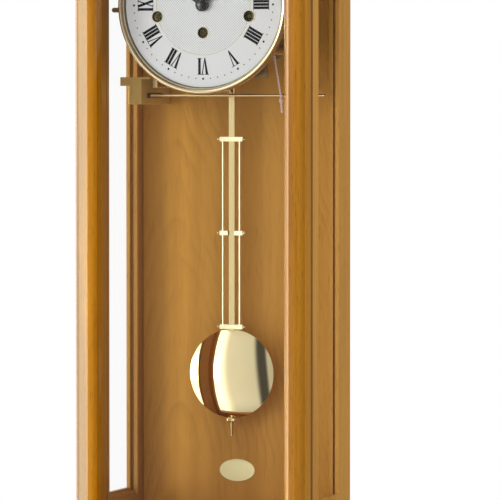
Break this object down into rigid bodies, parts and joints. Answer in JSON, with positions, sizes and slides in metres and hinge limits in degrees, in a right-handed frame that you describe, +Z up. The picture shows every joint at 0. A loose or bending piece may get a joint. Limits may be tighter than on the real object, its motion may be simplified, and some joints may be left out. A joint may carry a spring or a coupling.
{
  "type": "regulator wall clock",
  "caption": "Glazed wooden wall clock case with a hinged door, a round dial, a spring-driven chiming movement, a gong with hammers and a long brass pendulum.",
  "frame": {"origin": "where the axis of the dial meets the wall, on the rear face of the backboard", "axes": "+X to the viewer's right, +Y into the wall, +Z up"},
  "size_m": [0.319, 0.2158, 0.8196],
  "materials": {
    "wood": "amber varnish over a plain grain",
    "panel": "satin varnish over an upright grain",
    "glass": "clear sheet",
    "brass": "polished and lacquered",
    "gilt": "gilt paint on a casting",
    "steel": "plain steel",
    "silver": "silvered with a white ring",
    "black": "gloss black",
    "black_plastic": "plain",
    "cord": "twisted"
  },
  "bodies": {
    "case": {"cornice": "wood", "base_moulding": "wood", "side_frame_left": "wood", "side_frame_right": "wood", "top_board": "wood", "floor_board": "wood", "backboard": "panel", "side_glass_left": "glass", "side_glass_right": "glass", "case_hinge_upper": "brass", "case_hinge_lower": "brass", "oval_plate": "brass", "front_plate": "brass", "back_plate": "brass", "bezel": "brass", "suspension_post": "brass", "gong_block": "gilt", "hanger_plate": "steel", "movement_bracket_left": "steel", "movement_bracket_right": "steel", "hammer_shaft": "steel", "gong_rod_1": "steel", "gong_rod_2": "steel", "gong_rod_3": "steel", "gong_rod_4": "steel", "dial_plate": "silver", "door_catch": "black_plastic", "pull_cord": "cord"},
    "door": {"door_stile_left": "wood", "door_stile_right": "wood", "door_top_rail": "wood", "door_bottom_rail": "wood", "door_glass": "glass", "door_hinge_upper": "brass", "door_hinge_lower": "brass"},
    "centre": {"centre_wheel": "brass", "minute_hand": "black", "hand_nut": "black"},
    "hour": {"hour_wheel": "brass", "hour_hand": "black"},
    "minute": {"minute_wheel": "brass"},
    "third": {"third_wheel": "brass"},
    "escape": {"escape_wheel": "brass"},
    "time_drum": {"time_barrel": "brass"},
    "strike_drum": {"strike_barrel": "brass"},
    "chime_drum": {"chime_barrel": "brass"},
    "time_winding": {"time_winding_arbor": "steel"},
    "strike_winding": {"strike_winding_arbor": "steel"},
    "chime_winding": {"chime_winding_arbor": "steel"},
    "pendulum": {"anchor": "steel", "pendulum_leader": "brass", "pendulum_rod": "brass", "pendulum_grid": "brass"},
    "bob": {"bob": "brass"},
    "rating_nut": {"rating_nut": "brass"},
    "hammer_a": {"hammer_1": "brass"},
    "hammer_b": {"hammer_2": "brass"},
    "hammer_c": {"hammer_3": "brass"},
    "hammer_d": {"hammer_4": "brass"},
    "lever": {"silent_lever": "brass"}
  },
  "joints": [
    {"name": "door_swing", "type": "hinge", "parent": "case", "child": "door", "pos_m": [-0.1342, -0.1645, -0.228], "axis": [0, 0, -1], "range_deg": [0, 105]},
    {"name": "minute_turn", "type": "hinge", "parent": "case", "child": "centre", "pos_m": [0, -0.1, 0], "axis": [0, 1, 0], "continuous": true},
    {"name": "hour_turn", "type": "hinge", "parent": "case", "child": "hour", "pos_m": [0, -0.1, 0], "axis": [0, 1, 0], "continuous": true},
    {"name": "minute_wheel_turn", "type": "hinge", "parent": "case", "child": "minute", "pos_m": [-0.01273, -0.1, 0.01273], "axis": [0, 1, 0], "continuous": true},
    {"name": "third_turn", "type": "hinge", "parent": "case", "child": "third", "pos_m": [0.01225, -0.1, 0.02064], "axis": [0, 1, 0], "continuous": true},
    {"name": "escape_turn", "type": "hinge", "parent": "case", "child": "escape", "pos_m": [0, -0.1, 0.038], "axis": [0, 1, 0], "continuous": true},
    {"name": "time_drum_turn", "type": "hinge", "parent": "case", "child": "time_drum", "pos_m": [0, -0.1, -0.0315], "axis": [0, 1, 0], "continuous": true},
    {"name": "strike_drum_turn", "type": "hinge", "parent": "case", "child": "strike_drum", "pos_m": [-0.055, -0.1, -0.013], "axis": [0, 1, 0], "continuous": true},
    {"name": "chime_drum_turn", "type": "hinge", "parent": "case", "child": "chime_drum", "pos_m": [0.055, -0.1, -0.013], "axis": [0, 1, 0], "continuous": true},
    {"name": "time_winding_turn", "type": "hinge", "parent": "case", "child": "time_winding", "pos_m": [0, -0.1, -0.0315], "axis": [0, 1, 0], "continuous": true},
    {"name": "strike_winding_turn", "type": "hinge", "parent": "case", "child": "strike_winding", "pos_m": [-0.055, -0.1, -0.013], "axis": [0, 1, 0], "continuous": true},
    {"name": "chime_winding_turn", "type": "hinge", "parent": "case", "child": "chime_winding", "pos_m": [0.055, -0.1, -0.013], "axis": [0, 1, 0], "continuous": true},
    {"name": "pendulum_swing", "type": "hinge", "parent": "case", "child": "pendulum", "pos_m": [0, -0.042, 0.056], "axis": [0, 1, 0], "range_deg": [-3.5, 3.5]},
    {"name": "bob_height", "type": "slide", "parent": "pendulum", "child": "bob", "axis": [0, 0, 1], "range_m": [-0.0049, 0.00035]},
    {"name": "rating_turn", "type": "hinge", "parent": "bob", "child": "rating_nut", "pos_m": [0, -0.042, -0.478], "axis": [0, 0, 1], "range_deg": [-2520, 180]},
    {"name": "lever_shift", "type": "hinge", "parent": "case", "child": "lever", "pos_m": [-0.066, -0.13, -0.005], "axis": [0, 1, 0], "range_deg": [-6, 6]},
    {"name": "hammer_a_swing", "type": "hinge", "parent": "case", "child": "hammer_a", "pos_m": [-0.04, -0.0874, -0.072], "axis": [0, 1, 0], "range_deg": [-8, 12], "stiffness_Nm_per_rad": 0.05, "springref_deg": 2.29},
    {"name": "hammer_b_swing", "type": "hinge", "parent": "case", "child": "hammer_b", "pos_m": [-0.04, -0.0755, -0.072], "axis": [0, 1, 0], "range_deg": [-8, 12], "stiffness_Nm_per_rad": 0.05, "springref_deg": 2.29},
    {"name": "hammer_c_swing", "type": "hinge", "parent": "case", "child": "hammer_c", "pos_m": [-0.04, -0.0636, -0.072], "axis": [0, 1, 0], "range_deg": [-8, 12], "stiffness_Nm_per_rad": 0.05, "springref_deg": 2.29},
    {"name": "hammer_d_swing", "type": "hinge", "parent": "case", "child": "hammer_d", "pos_m": [-0.04, -0.0517, -0.072], "axis": [0, 1, 0], "range_deg": [-8, 12], "stiffness_Nm_per_rad": 0.05, "springref_deg": 2.29}
  ],
  "couplings": [
    {"joint": "hour_turn", "follows": "minute_turn", "ratio": 0.083333},
    {"joint": "minute_wheel_turn", "follows": "minute_turn", "ratio": -0.33333},
    {"joint": "third_turn", "follows": "minute_turn", "ratio": -9},
    {"joint": "escape_turn", "follows": "minute_turn", "ratio": 86.625},
    {"joint": "time_drum_turn", "follows": "minute_turn", "ratio": -0.16667},
    {"joint": "rating_turn", "follows": "bob_height", "rad_per_m": 8976}
  ]
}
